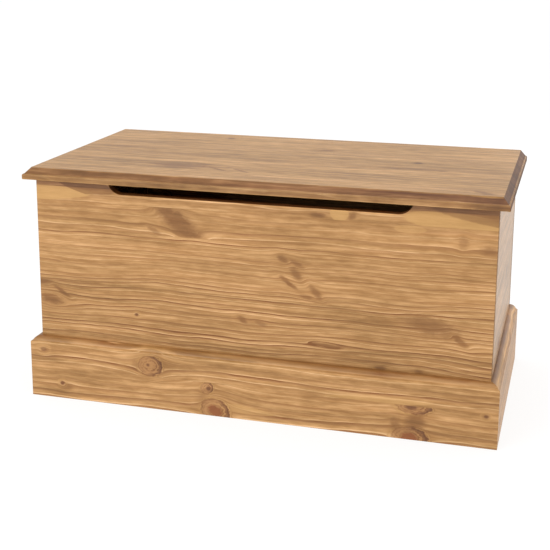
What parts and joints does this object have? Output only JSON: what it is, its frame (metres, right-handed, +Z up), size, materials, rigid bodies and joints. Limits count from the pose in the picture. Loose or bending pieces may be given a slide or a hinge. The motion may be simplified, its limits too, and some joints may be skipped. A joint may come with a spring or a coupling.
{
  "type": "wooden storage chest with piano-hinged lid",
  "caption": "Low waxed pine storage chest with a moulded lid on a full-width piano hinge, slotted lid stays, a finger recess in the front and a mitred moulded plinth.",
  "frame": {"origin": "on the floor, at the middle of the whole object's width and depth", "axes": "+X to the chest's right as seen from the front, -Y out of the front, +Z up"},
  "size_m": [0.846, 0.441, 0.4255],
  "materials": {
    "pine_waxed": "waxed, satin",
    "pine_plain": "sanded, unfinished",
    "plywood": "sanded, unfinished",
    "hinge_brass": "brass-plated, satin",
    "screw_brass": "brass-plated, bright",
    "pin_steel": "drawn wire",
    "stay_zinc": "zinc-plated",
    "screw_zinc": "zinc-plated"
  },
  "bodies": {
    "chest": {"front_panel": "pine_waxed", "back_panel": "pine_waxed", "left_side_panel": "pine_waxed", "right_side_panel": "pine_waxed", "base_panel": "plywood", "base_batten_front": "pine_plain", "base_batten_back": "pine_plain", "base_batten_left": "pine_plain", "base_batten_right": "pine_plain", "corner_post_front_left": "pine_plain", "corner_post_front_right": "pine_plain", "corner_post_back_left": "pine_plain", "corner_post_back_right": "pine_plain", "plinth_front": "pine_waxed", "plinth_left": "pine_waxed", "plinth_right": "pine_waxed", "hinge_leaf_box": "hinge_brass", "hinge_pin": "pin_steel", "hinge_screws_box": "screw_brass", "stay_plate_left": "stay_zinc", "stay_plate_right": "stay_zinc", "stay_stud_left": "stay_zinc", "stay_stud_right": "stay_zinc", "stay_plate_screws": "screw_zinc", "corner_post_screws": "screw_zinc", "base_batten_screws": "screw_zinc", "base_panel_screws": "screw_zinc", "plinth_screws": "screw_zinc"},
    "lid": {"lid_panel": "pine_waxed", "lid_batten_left": "pine_plain", "lid_batten_right": "pine_plain", "hinge_leaf_lid": "hinge_brass", "hinge_screws_lid": "screw_brass", "stay_bracket_left": "stay_zinc", "stay_bracket_right": "stay_zinc", "stay_rivet_left": "stay_zinc", "stay_rivet_right": "stay_zinc", "stay_bracket_screws": "screw_zinc", "lid_batten_screws": "screw_zinc"},
    "stay_arm_left": {"stay_arm_left": "stay_zinc"},
    "stay_arm_right": {"stay_arm_right": "stay_zinc"}
  },
  "joints": [
    {"name": "lid_hinge", "type": "hinge", "parent": "chest", "child": "lid", "pos_m": [0, 0.21825, 0.40275], "axis": [-1, 0, 0], "range_deg": [0, 95]},
    {"name": "stay_pivot_left", "type": "hinge", "parent": "lid", "child": "stay_arm_left", "pos_m": [-0.3795, 0.04918, 0.38498], "axis": [-1, 0, 0], "range_deg": [-47.5, 0]},
    {"name": "stay_pivot_right", "type": "hinge", "parent": "lid", "child": "stay_arm_right", "pos_m": [0.3795, 0.04918, 0.38498], "axis": [-1, 0, 0], "range_deg": [-47.5, 0]}
  ],
  "couplings": [
    {"joint": "stay_pivot_left", "follows": "lid_hinge", "ratio": -0.5},
    {"joint": "stay_pivot_right", "follows": "lid_hinge", "ratio": -0.5}
  ]
}
